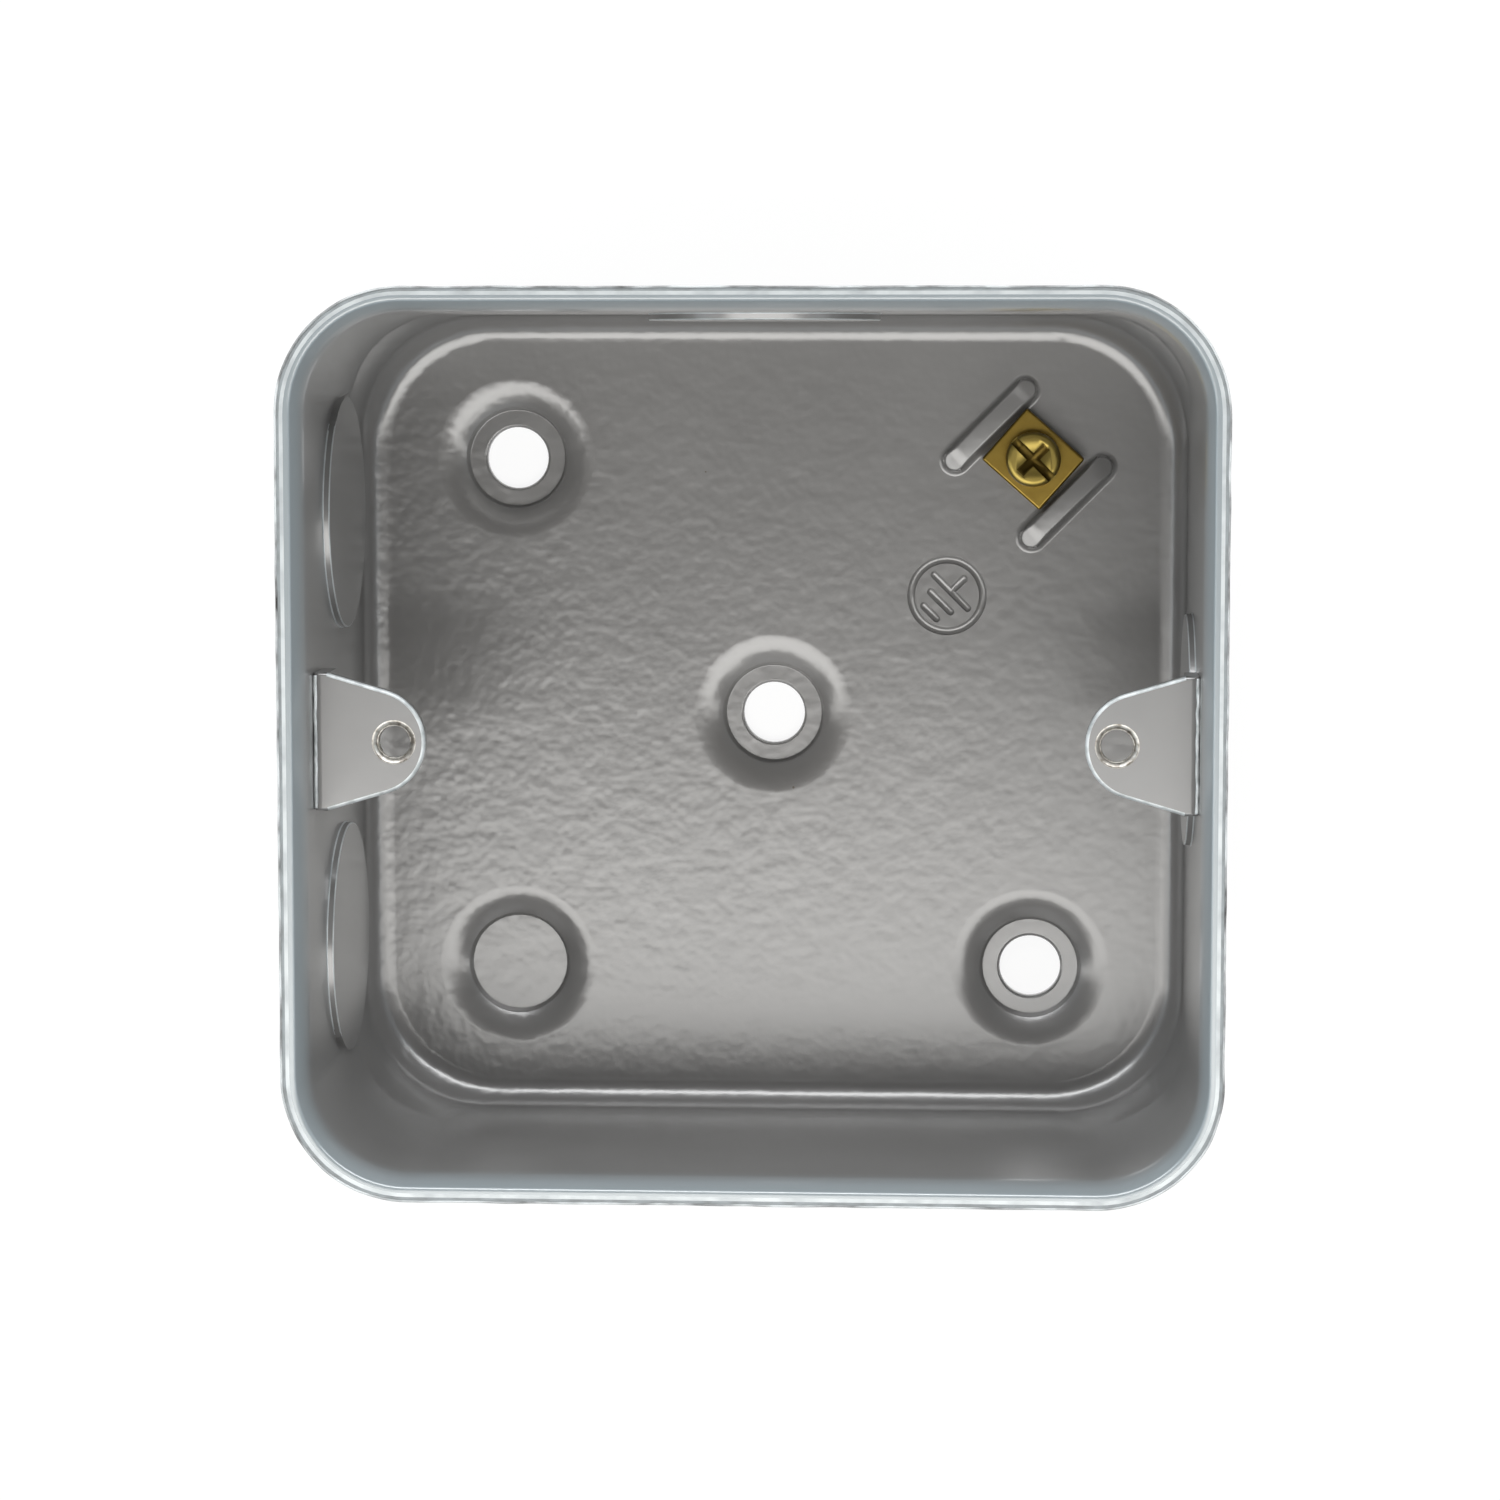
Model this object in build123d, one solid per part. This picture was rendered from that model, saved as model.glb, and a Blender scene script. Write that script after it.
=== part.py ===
from build123d import *
import os
from math import atan2, cos, radians, sin, sqrt, tan

# Flush wall box for one wiring accessory: a drawn steel shell with two welded lugs and an earth terminal.
# Millimetres. The origin is at the middle of the wall plane that the feet stand on, +Z points out of the
# open mouth, +X goes to the right and +Y up when the box is fixed to its wall.

# Drawn shell, measured inside
inner_width = 73.9
inner_height = 71.6
inner_depth = 35.5
sheet = 1.0
wall_corner_radius = 8.4

# Bend from the floor to the walls: a tight bend, a short cone and a wider bend, with fuller corners below
nose_run = 2.5
floor_bend_radius = 2.4
floor_bend_steps = 4
wall_bend_radius = 2.0
wall_bend_steps = 2
cone_angle = 50.0
floor_corner_radius = 9.6
corner_blend_height = 9.0

# Rolled-out rim: where it starts below the edge, how far it leans and the bend of its inner face
flare_height = 3.0
flare_angle = 30.0
flare_radius = 5.5
flare_steps = 3

# Feet pressed down into the floor, with the wall fixing holes
fixing_spacing_x = 46.5
fixing_spacing_y = 46.0
fixing_hole_diameter = 5.5
foot_height = 1.5
foot_land_diameter = 8.7
foot_mouth_diameter = 12.6
foot_step = 0.7
foot_step_run = 0.2
foot_bend = 0.5

# Half-sheared knockouts
knockout_diameter = 20.0
knockout_drop = 21.7
knockout_push = 0.6
knockout_pair_spacing = 37.2

# Lugs for the accessory's screws
lug_hole_spacing = 60.3
lug_hole_diameter = 2.9
lug_hole_mouth = 3.5
lug_drop = 5.75
lug_sheet = 1.2
lug_bend = 0.25
lug_fold_radius = 0.75
lug_base_width = 11.6
lug_tip_radius = 4.5
lug_tip_reach = 2.65
lug_flange_height = 5.0
lug_edge = 0.2

# Earth terminal: ribs that stop the plate turning, the plate, its screw and the tapped collar
terminal_turn = 45.0
rib_spacing = 9.7
rib_length = 11.0
rib_shift = -0.6
rib_width = 2.2
rib_height = 1.2
rib_lean = 14.0
rib_ramp_run = 2.2
rib_ramp_angle = 20.0
rib_groove_width = 1.0
plate_length = 6.1
plate_thickness = 1.5
plate_clearance = 0.3
plate_turn = 3.6
plate_edge = 0.15
plate_hole_diameter = 3.4
thread_diameter = 2.7
thread_clearance = 0.03
thread_tip_gap = 0.2
thread_tip_chamfer = 0.4
collar_diameter = 4.6
head_diameter = 4.9
head_height = 1.7
head_round = 0.55
cross_span = 3.3
cross_width = 0.85
cross_depth = 1.2
cross_lean = 9.0
slot_width = 0.75
slot_depth = 0.5

# Places that several pieces share
floor_z = foot_height + sheet
rim_z = floor_z + inner_depth
terminal = Pos(fixing_spacing_x / 2, fixing_spacing_y / 2, floor_z) * Rot(0, 0, terminal_turn)


def turns(start, end, steps):
    """Angles in radians that divide a bend into equal steps, both ends included."""
    return [radians(start + (end - start) * step / steps) for step in range(steps + 1)]


def bottom_rows(grow):
    """Inset from the wall, height and corner radius of the outlines from the floor up to the straight wall."""
    run = nose_run + grow
    floor_bend = floor_bend_radius + grow
    wall_bend = wall_bend_radius + grow
    wall_corner = wall_corner_radius + grow
    cone = radians(cone_angle)
    bend = [
        (run - floor_bend * sin(turn), floor_z - grow + floor_bend * (1 - cos(turn)))
        for turn in turns(0, cone_angle, floor_bend_steps)
    ]
    rows = [(inset, z, floor_corner_radius + run - inset) for inset, z in bend]
    cone_inset = wall_bend * (1 - sin(cone))
    cone_z = bend[-1][1] + (bend[-1][0] - cone_inset) * tan(cone)
    cone_corner = floor_corner_radius + run - cone_inset
    blend_z = floor_z + corner_blend_height
    shrink = (cone_corner - wall_corner) / (blend_z - cone_z)
    for turn in turns(cone_angle, 90, wall_bend_steps):
        z = cone_z + wall_bend * (cos(cone) - cos(turn))
        rows.append((wall_bend * (1 - sin(turn)), z, wall_corner + shrink * (blend_z - z)))
    return rows + [(0, blend_z, wall_corner)]


def flare_rows(grow):
    """Inset from the wall, height and corner radius of the outlines of the rolled-out rim."""
    roll = flare_radius - grow
    wall_corner = wall_corner_radius + grow
    lean = radians(flare_angle)
    flare_z = rim_z - flare_height
    overhang = roll * (1 - cos(lean)) + (flare_height - roll * sin(lean)) * tan(lean)
    bend = [(-roll * (1 - cos(turn)), flare_z + roll * sin(turn)) for turn in turns(0, flare_angle, flare_steps)]
    return [(inset, z, wall_corner - inset) for inset, z in bend + [(-overhang, rim_z)]]


def drawn_form(grow):
    """Solid inside one face of the drawn sheet: the cavity for 0, the outside for the sheet's thickness."""
    outlines = []
    for inset, z, corner_radius in bottom_rows(grow) + flare_rows(grow):
        width = inner_width + 2 * (grow - inset)
        height = inner_height + 2 * (grow - inset)
        outlines.append(Pos(0, 0, z) * RectangleRounded(width, height, corner_radius))
    return loft(outlines, ruled=True)


def pressed_foot(hole_diameter):
    """Dished foot with a stepped-down land, and the floor disc it replaces, about the foot's own axis."""
    mouth = foot_mouth_diameter / 2
    land = foot_land_diameter / 2
    hole = hole_diameter / 2
    brink = land + foot_step_run
    pad = land + sheet
    knee = brink + sheet
    lean = atan2(foot_height - foot_step, mouth - brink)
    knee_z = (knee - mouth) * tan(lean) - sheet / cos(lean)
    shift = sheet * tan(lean / 2)
    reach = mouth + shift + foot_bend
    section = make_face(
        Polyline(
            (reach, 0),
            (mouth, 0),
            (brink, foot_step - foot_height),
            (land, -foot_height),
            (hole, -foot_height),
            (hole, -floor_z),
            (pad, -floor_z),
            (knee, knee_z),
            (mouth + shift, -sheet),
            (reach, -sheet),
            close=True,
        )
    )
    bend = section.vertices().sort_by_distance((mouth, 0))[0]
    section = chamfer(bend, foot_bend)
    foot = revolve(Plane.XZ * section, Axis.Z)
    disc = Pos(0, 0, -sheet / 2) * Cylinder(reach, sheet)
    return foot, disc


def with_feet(shell):
    """Shell with its feet: two corners and the middle are pierced, one corner is blank."""
    far_x = fixing_spacing_x / 2
    far_y = fixing_spacing_y / 2
    pierced = pressed_foot(fixing_hole_diameter)
    blank = pressed_foot(0)
    for place, (foot, disc) in (
        (Pos(0, 0, floor_z), pierced),
        (Pos(-far_x, far_y, floor_z), pierced),
        (Pos(far_x, -far_y, floor_z), pierced),
        (Pos(-far_x, -far_y, floor_z), blank),
    ):
        shell = shell - place * disc + place * foot
    return shell


def with_knockouts(shell):
    """Shell with its knockout discs sheared part of the way into the box."""
    height = rim_z - knockout_drop
    side = inner_width / 2
    top = inner_height / 2
    pair = knockout_pair_spacing / 2
    radius = knockout_diameter / 2
    for place in (
        Plane(origin=(-side, pair, height), z_dir=(1, 0, 0)),
        Plane(origin=(-side, -pair, height), z_dir=(1, 0, 0)),
        Plane(origin=(side, 0, height), z_dir=(-1, 0, 0)),
        Plane(origin=(0, top, height), z_dir=(0, -1, 0)),
    ):
        window = place * Pos(0, 0, -sheet / 2) * Cylinder(radius, 2 * sheet)
        disc = place * Pos(0, 0, knockout_push - sheet / 2) * Cylinder(radius, sheet)
        shell = shell - window + disc
    return shell


def make_rib():
    """Pressed rib along X, standing on the floor, with its top sloping down at both ends."""
    rib = extrude(SlotOverall(rib_length, rib_width), rib_height, taper=rib_lean)
    end = rib_length / 2
    end_z = rib_height - rib_ramp_run * tan(radians(rib_ramp_angle))
    roof = make_face(
        Polyline(
            (-end, 0),
            (end, 0),
            (end, end_z),
            (end - rib_ramp_run, rib_height),
            (rib_ramp_run - end, rib_height),
            (-end, end_z),
            close=True,
        )
    )
    return rib & extrude(Plane.XZ * roof, rib_width, both=True)


def with_terminal_seat(shell):
    """Shell with the two pressed ribs and the tapped collar of the earth terminal."""
    rib = make_rib()
    groove_length = rib_length - rib_width + rib_groove_width
    groove = extrude(SlotOverall(groove_length, rib_groove_width), rib_height)
    for across in (rib_spacing / 2, -rib_spacing / 2):
        shell += terminal * Pos(rib_shift, across, 0) * rib
        shell -= terminal * Pos(rib_shift, across, -sheet) * groove
    collar = Pos(0, 0, -sheet - foot_height / 2) * Cylinder(collar_diameter / 2, foot_height)
    tapping = Pos(0, 0, -floor_z / 2) * Cylinder(thread_diameter / 2 + thread_clearance, floor_z)
    return shell + terminal * collar - terminal * tapping


def make_shell():
    """The drawn sheet with everything that is pressed or sheared in it."""
    shell = drawn_form(sheet) - drawn_form(0)
    shell = with_feet(shell)
    shell = with_knockouts(shell)
    return with_terminal_seat(shell)


def make_lug():
    """Left lug: a folded bracket whose flange lies on the wall and whose tab takes the accessory's screw."""
    wall_x = -inner_width / 2
    hole_x = (inner_width - lug_hole_spacing) / 2
    reach = hole_x + lug_tip_reach
    section = make_face(
        FilletPolyline(
            (0, -lug_flange_height),
            (0, 0),
            (reach, 0),
            (reach, -lug_sheet),
            (lug_sheet, -lug_sheet),
            (lug_sheet, -lug_flange_height),
            close=True,
            radius=[0, lug_fold_radius, 0, 0, lug_bend, 0],
        )
    )
    folded = extrude(Plane.XZ * section, lug_base_width / 2, both=True)
    base = Pos(lug_sheet / 2, 0) * Rectangle(lug_sheet, lug_base_width)
    tip = Pos(reach - lug_tip_radius, 0) * Circle(lug_tip_radius)
    blank = extrude(make_hull(base.edges() + tip.edges()), -lug_flange_height)
    blank = chamfer(blank.edges().group_by(Axis.Z)[-1], lug_edge)
    lug = folded & blank
    mouth_depth = (lug_hole_mouth - lug_hole_diameter) / 2
    lug -= Pos(hole_x, 0, -lug_sheet / 2) * Cylinder(lug_hole_diameter / 2, lug_sheet)
    lug -= Pos(hole_x, 0, -mouth_depth / 2) * Cone(lug_hole_diameter / 2, lug_hole_mouth / 2, mouth_depth)
    return Pos(wall_x, 0, rim_z - lug_drop) * lug


def make_clamp_plate():
    """Square clamp plate lying on the floor between the ribs."""
    width = rib_spacing - rib_width - 2 * plate_clearance
    plate = Pos(0, 0, plate_thickness / 2) * Box(plate_length, width, plate_thickness)
    plate = chamfer(plate.edges(), plate_edge)
    plate -= Pos(0, 0, plate_thickness / 2) * Cylinder(plate_hole_diameter / 2, plate_thickness)
    return terminal * Rot(0, 0, plate_turn) * plate


def make_screw():
    """Earth screw with a cross and slot head, its thread drawn at the mean diameter."""
    thread = thread_diameter / 2
    head = head_diameter / 2
    tip_z = thread_tip_gap - floor_z
    seat_z = plate_thickness
    top_z = seat_z + head_height
    shoulder = head_round * (1 - sqrt(0.5))
    section = make_face(
        Polyline(
            (0, tip_z),
            (thread - thread_tip_chamfer, tip_z),
            (thread, tip_z + thread_tip_chamfer),
            (thread, seat_z),
            (head, seat_z),
            (head, top_z - head_round),
            (head - shoulder, top_z - shoulder),
            (head - head_round, top_z),
            (0, top_z),
            close=True,
        )
    )
    screw = revolve(Plane.XZ * section, Axis.Z)
    arms = Rectangle(cross_span, cross_width) + Rectangle(cross_width, cross_span)
    screw -= Pos(0, 0, top_z) * extrude(arms, -cross_depth, taper=cross_lean)
    screw -= Pos(0, 0, top_z - slot_depth / 2) * Box(slot_width, head_diameter, slot_depth)
    return terminal * screw


left_lug = make_lug()
pieces = {
    "box_shell": make_shell(),
    "left_lug": left_lug,
    "right_lug": mirror(left_lug, Plane.YZ),
    "earth_clamp_plate": make_clamp_plate(),
    "earth_screw": make_screw(),
}
os.makedirs("parts", exist_ok=True)
for name, piece in pieces.items():
    export_step(piece, f"parts/{name}.step")
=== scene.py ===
import logging
import math
from dataclasses import dataclass, field
from enum import Enum
from typing import Any, Callable, Iterable, Optional

import bmesh
import bpy
from bmesh.types import BMEdge, BMesh, BMFace, BMVert
from mathutils import Matrix, Vector, noise


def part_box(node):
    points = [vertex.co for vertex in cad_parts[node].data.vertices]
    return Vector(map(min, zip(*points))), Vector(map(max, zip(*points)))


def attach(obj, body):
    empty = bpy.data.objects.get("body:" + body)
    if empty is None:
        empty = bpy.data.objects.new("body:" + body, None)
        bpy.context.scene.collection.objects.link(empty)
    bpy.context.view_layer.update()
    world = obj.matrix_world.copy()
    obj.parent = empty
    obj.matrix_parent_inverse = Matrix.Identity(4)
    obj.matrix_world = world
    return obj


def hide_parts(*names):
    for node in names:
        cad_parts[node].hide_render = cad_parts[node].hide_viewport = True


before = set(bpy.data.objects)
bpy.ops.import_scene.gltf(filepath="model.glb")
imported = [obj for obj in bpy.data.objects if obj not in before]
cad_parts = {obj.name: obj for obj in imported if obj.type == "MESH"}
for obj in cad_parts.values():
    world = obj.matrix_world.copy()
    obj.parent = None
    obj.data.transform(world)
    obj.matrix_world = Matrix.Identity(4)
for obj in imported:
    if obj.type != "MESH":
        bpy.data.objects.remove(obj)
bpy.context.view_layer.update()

# Looks of a drawn steel wall box: a stove-enamelled shell with two screw lugs and a brass earth terminal.
# Lengths in the fields are millimetres, and MM turns them to the frame's metres.

MM = 0.001
BODY = "root"
MERGE_DISTANCE = 0.001 * MM
FLAT_ANGLE = math.radians(0.4)
SHARP_ANGLE = math.radians(28)
FOOT_ANGLE = math.radians(4)
FULL_TURN = 2 * math.pi
SORT_DIGITS = 9
TERMINAL_MM = (23.25, 23.0)
# The noise that makes the burr and the beads uneven is seeded, or it would differ from run to run.
WANDER_SEED = 7
# A wave texture turns by this many radians in a unit, at a scale of 1.
WAVE_RATE = 20
# An area lamp's brightness is its power over this number and its area.
LAMP_SPREAD = 4.0

log = logging.getLogger("wall_box")


class Slot(Enum):
    """Names of the material slots."""

    ENAMEL = "grey_enamel"
    PLATE = "plate_brass"
    SCREW = "screw_brass"


class Layer(Enum):
    """Numbers of the finishes that a steel piece has besides its enamel."""

    # Edge highlight: a pale colour on edges that paints their highlight; on the rim's middle it is also thin
    # enamel.
    THIN = 1
    CUT = 2


class Side(Enum):
    """Wall that carries a lug: its node and its sign along X."""

    LEFT = ("left_lug", -1)
    RIGHT = ("right_lug", 1)

    @property
    def node(self) -> str:
        """Name of the lug's node."""
        return self.value[0]

    @property
    def sign(self) -> int:
        """Sign of the lug's X."""
        return self.value[1]


def linear(colour: str) -> tuple[float, float, float, float]:
    """Turns an sRGB hex colour to linear RGBA.

    Args:
        colour: six hex digits after a hash.

    Returns:
        Linear red, green and blue, and an alpha of 1.
    """
    steps = [int(colour[i:i + 2], 16) / 255 for i in (1, 3, 5)]
    red, green, blue = (s / 12.92 if s <= 0.04045 else ((s + 0.055) / 1.055) ** 2.4 for s in steps)
    return red, green, blue, 1.0


def add_node(
    tree: bpy.types.NodeTree,
    kind: str,
    settings: Optional[dict[str, Any]] = None,
    inputs: Optional[dict[Any, Any]] = None,
) -> bpy.types.Node:
    """Adds a shader node with its settings and links.

    Args:
        tree: tree that gets the node.
        kind: Blender's name for the kind of node.
        settings: attributes of the node.
        inputs: by the name or number of an input, an output to link or a value to set.

    Returns:
        The new node.
    """
    node = tree.nodes.new(kind)
    for name, value in (settings or {}).items():
        setattr(node, name, value)
    for key, value in (inputs or {}).items():
        if isinstance(value, bpy.types.NodeSocket):
            tree.links.new(value, node.inputs[key])
        else:
            node.inputs[key].default_value = value
    return node


def new_material(name: str) -> tuple[bpy.types.Material, bpy.types.NodeTree]:
    """Makes a material with an empty node tree.

    Args:
        name: the material's name.

    Returns:
        The material and its tree.
    """
    material = bpy.data.materials.new(name)
    material.use_nodes = True
    material.node_tree.nodes.clear()
    return material, material.node_tree


@dataclass(frozen=True)
class StovedEnamel:
    """Grey stove enamel on drawn sheet steel, with painted light that makes it paler and bluer towards the
    rim.
    """

    # The eye gets a soft grey gloss that orange peel breaks up on the floor, smoother walls with a pale lip
    # of painted light, paler and bluer towards the rim, and a few dark specks.

    name: str = "stoved_grey_enamel"
    light: str = "#6f6e6d"
    dark: str = "#646362"
    speck: str = "#4a4136"
    # The lip colour and its heights are painted light: a paler, bluer band towards the rim.
    painted_lip_light: str = "#7a8184"
    painted_lip_light_mm: tuple[float, float] = (33.5, 38.0)
    mottle_mm: float = 9.0
    mottle_detail: float = 4.0
    peel_mm: float = 1.5
    peel_detail: float = 1.0
    grit_mm: float = 0.6
    grit_detail: float = 0.0
    grit_share: float = 0.2
    peel_depth_mm: float = 0.06
    speck_gap_mm: float = 7.0
    speck_mm: float = 0.22
    wall_peel: float = 0.15
    right_peel: float = 0.35
    roughness: float = 0.34
    paint_index: float = 1.5
    coat_roughness: float = 0.23
    coat_index: float = 1.75
    fade_mm: tuple[float, float] = (4.0, 8.0)
    half_width_mm: float = 36.0

    def build(self) -> bpy.types.Material:
        """Makes the enamel.

        Returns:
            The material.
        """
        material, tree = new_material(self.name)
        place = add_node(tree, "ShaderNodeTexCoord")
        spot = place.outputs["Object"]
        height = add_node(tree, "ShaderNodeSeparateXYZ", inputs={0: spot})
        mottle = add_node(
            tree,
            "ShaderNodeTexNoise",
            inputs={"Vector": spot, "Scale": 1 / (self.mottle_mm * MM), "Detail": self.mottle_detail},
        )
        paint = add_node(
            tree,
            "ShaderNodeMix",
            {"data_type": "RGBA"},
            {0: mottle.outputs[0], 6: linear(self.dark), 7: linear(self.light)},
        )
        cells = add_node(
            tree, "ShaderNodeTexVoronoi", inputs={"Vector": spot, "Scale": 1 / (self.speck_gap_mm * MM)}
        )
        speck = add_node(
            tree,
            "ShaderNodeMath",
            {"operation": "LESS_THAN"},
            {0: cells.outputs["Distance"], 1: self.speck_mm / 2 / self.speck_gap_mm},
        )
        # Painted light: the colour turns to the pale lip colour towards the rim.
        lip_light_share = add_node(
            tree,
            "ShaderNodeMapRange",
            {"interpolation_type": "SMOOTHSTEP"},
            {0: height.outputs[2], 1: self.painted_lip_light_mm[0] * MM, 2: self.painted_lip_light_mm[1] * MM},
        )
        drawn = add_node(
            tree,
            "ShaderNodeMix",
            {"data_type": "RGBA"},
            {0: lip_light_share.outputs[0], 6: paint.outputs[2], 7: linear(self.painted_lip_light)},
        )
        colour = add_node(
            tree,
            "ShaderNodeMix",
            {"data_type": "RGBA"},
            {0: speck.outputs[0], 6: drawn.outputs[2], 7: linear(self.speck)},
        )
        peel = add_node(
            tree,
            "ShaderNodeTexNoise",
            inputs={"Vector": spot, "Scale": 1 / (self.peel_mm * MM), "Detail": self.peel_detail},
        )
        grit = add_node(
            tree,
            "ShaderNodeTexNoise",
            inputs={"Vector": spot, "Scale": 1 / (self.grit_mm * MM), "Detail": self.grit_detail},
        )
        relief = add_node(
            tree,
            "ShaderNodeMix",
            {"data_type": "FLOAT"},
            {0: self.grit_share, 2: peel.outputs[0], 3: grit.outputs[0]},
        )
        on_floor = add_node(
            tree,
            "ShaderNodeMapRange",
            inputs={
                0: height.outputs[2],
                1: self.fade_mm[0] * MM,
                2: self.fade_mm[1] * MM,
                3: 1.0,
                4: self.wall_peel,
            },
        )
        to_left = add_node(
            tree,
            "ShaderNodeMapRange",
            inputs={
                0: height.outputs[0],
                1: -self.half_width_mm * MM,
                2: self.half_width_mm * MM,
                3: 1.0,
                4: self.right_peel,
            },
        )
        strength = add_node(
            tree, "ShaderNodeMath", {"operation": "MULTIPLY"}, {0: on_floor.outputs[0], 1: to_left.outputs[0]}
        )
        bump = add_node(
            tree,
            "ShaderNodeBump",
            inputs={
                "Strength": strength.outputs[0],
                "Distance": self.peel_depth_mm * MM,
                "Height": relief.outputs[0],
            },
        )
        shader = add_node(
            tree,
            "ShaderNodeBsdfPrincipled",
            inputs={
                "Base Color": colour.outputs[2],
                "Roughness": self.roughness,
                "IOR": self.paint_index,
                "Coat Weight": 1.0,
                "Coat Roughness": self.coat_roughness,
                "Coat IOR": self.coat_index,
                "Normal": bump.outputs[0],
                "Coat Normal": bump.outputs[0],
            },
        )
        add_node(tree, "ShaderNodeOutputMaterial", inputs={0: shader.outputs[0]})
        return material


@dataclass(frozen=True)
class CutSteel:
    """Mild steel where a tool or a corner has left little enamel, and pale edges that stand in for
    highlights.
    """

    # The eye gets edges paler and shinier than the paint, broken by dull stains.

    name: str
    metal: str
    stain: str
    stain_mm: float
    roughness: float
    metallic: float
    stain_detail: float = 3.0
    stain_range: tuple[float, float] = (0.4, 0.7)
    dullest: float = 1.6

    def build(self) -> bpy.types.Material:
        """Makes the steel.

        Returns:
            The material.
        """
        material, tree = new_material(self.name)
        spot = add_node(tree, "ShaderNodeTexCoord").outputs["Object"]
        stains = add_node(
            tree,
            "ShaderNodeTexNoise",
            inputs={"Vector": spot, "Scale": 1 / (self.stain_mm * MM), "Detail": self.stain_detail},
        )
        spread = add_node(
            tree,
            "ShaderNodeMapRange",
            inputs={0: stains.outputs[0], 1: self.stain_range[0], 2: self.stain_range[1]},
        )
        colour = add_node(
            tree,
            "ShaderNodeMix",
            {"data_type": "RGBA"},
            {0: spread.outputs[0], 6: linear(self.metal), 7: linear(self.stain)},
        )
        rough = add_node(
            tree,
            "ShaderNodeMapRange",
            inputs={0: stains.outputs[0], 3: self.roughness, 4: min(1.0, self.dullest * self.roughness)},
        )
        shader = add_node(
            tree,
            "ShaderNodeBsdfPrincipled",
            inputs={
                "Base Color": colour.outputs[2],
                "Metallic": self.metallic,
                "Roughness": rough.outputs[0],
            },
        )
        add_node(tree, "ShaderNodeOutputMaterial", inputs={0: shader.outputs[0]})
        return material


@dataclass(frozen=True)
class Brass:
    """Brass with the marks of its making: straight rolling lines on sheet, rings on a turned head."""

    # The eye gets a dull gold shine drawn out along the lines. Real lines lie a few hundredths of a
    # millimetre apart, too fine to show, so they are drawn as coarse as they need to show.

    name: str
    bright: str
    dull: str
    line_mm: float
    rings: bool
    roughness: float
    axis_mm: tuple[float, float] = TERMINAL_MM
    turn: float = math.radians(45)
    tarnish_mm: float = 2.2
    tarnish_detail: float = 4.0
    line_depth_mm: float = 0.002
    line_strength: float = 0.5
    line_distortion: float = 2.5
    line_detail: float = 2.0
    gloss_range: tuple[float, float] = (0.8, 1.25)

    def build(self) -> bpy.types.Material:
        """Makes the brass.

        Returns:
            The material.
        """
        material, tree = new_material(self.name)
        spot = add_node(tree, "ShaderNodeTexCoord").outputs["Object"]
        centred = add_node(
            tree,
            "ShaderNodeMapping",
            {"vector_type": "TEXTURE"},
            {
                "Vector": spot,
                "Location": (self.axis_mm[0] * MM, self.axis_mm[1] * MM, 0.0),
                "Rotation": (0.0, 0.0, self.turn),
            },
        )
        lines = add_node(
            tree,
            "ShaderNodeTexWave",
            {"wave_type": "RINGS" if self.rings else "BANDS", "rings_direction": "Z", "bands_direction": "Y"},
            {
                "Vector": centred.outputs[0],
                "Scale": FULL_TURN / (WAVE_RATE * self.line_mm * MM),
                "Distortion": self.line_distortion,
                "Detail": self.line_detail,
            },
        )
        tarnish = add_node(
            tree,
            "ShaderNodeTexNoise",
            inputs={"Vector": spot, "Scale": 1 / (self.tarnish_mm * MM), "Detail": self.tarnish_detail},
        )
        colour = add_node(
            tree,
            "ShaderNodeMix",
            {"data_type": "RGBA"},
            {0: tarnish.outputs[0], 6: linear(self.bright), 7: linear(self.dull)},
        )
        rough = add_node(
            tree,
            "ShaderNodeMapRange",
            inputs={
                0: tarnish.outputs[0],
                3: self.gloss_range[0] * self.roughness,
                4: self.gloss_range[1] * self.roughness,
            },
        )
        bump = add_node(
            tree,
            "ShaderNodeBump",
            inputs={
                "Strength": self.line_strength,
                "Distance": self.line_depth_mm * MM,
                "Height": lines.outputs[1],
            },
        )
        shader = add_node(
            tree,
            "ShaderNodeBsdfPrincipled",
            inputs={
                "Base Color": colour.outputs[2],
                "Metallic": 1.0,
                "Roughness": rough.outputs[0],
                "Normal": bump.outputs[0],
            },
        )
        add_node(tree, "ShaderNodeOutputMaterial", inputs={0: shader.outputs[0]})
        return material


@dataclass(frozen=True)
class WhiteTable:
    """Matt white paint on a table."""

    # The eye gets a plain white ground, also in reflections, that keeps part of the shadow.

    name: str = "white_table"
    tone: str = "#f4f4f2"
    shine: float = 0.9

    def build(self) -> bpy.types.Material:
        """Makes the table's finish.

        Returns:
            The material.
        """
        material, tree = new_material(self.name)
        path = add_node(tree, "ShaderNodeLightPath")
        seen = path.outputs["Is Camera Ray"]
        for ray in ("Is Glossy Ray", "Is Transmission Ray"):
            both = {0: seen, 1: path.outputs[ray]}
            seen = add_node(tree, "ShaderNodeMath", {"operation": "MAXIMUM"}, both).outputs[0]
        share = add_node(tree, "ShaderNodeMath", {"operation": "MULTIPLY"}, {0: seen, 1: self.shine})
        matt = add_node(tree, "ShaderNodeBsdfDiffuse", inputs={"Color": linear(self.tone)})
        glow = add_node(tree, "ShaderNodeEmission", inputs={"Color": (1.0, 1.0, 1.0, 1.0), "Strength": 1.0})
        mixed = add_node(
            tree, "ShaderNodeMixShader", inputs={0: share.outputs[0], 1: matt.outputs[0], 2: glow.outputs[0]}
        )
        add_node(tree, "ShaderNodeOutputMaterial", inputs={0: mixed.outputs[0]})
        return material


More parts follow.
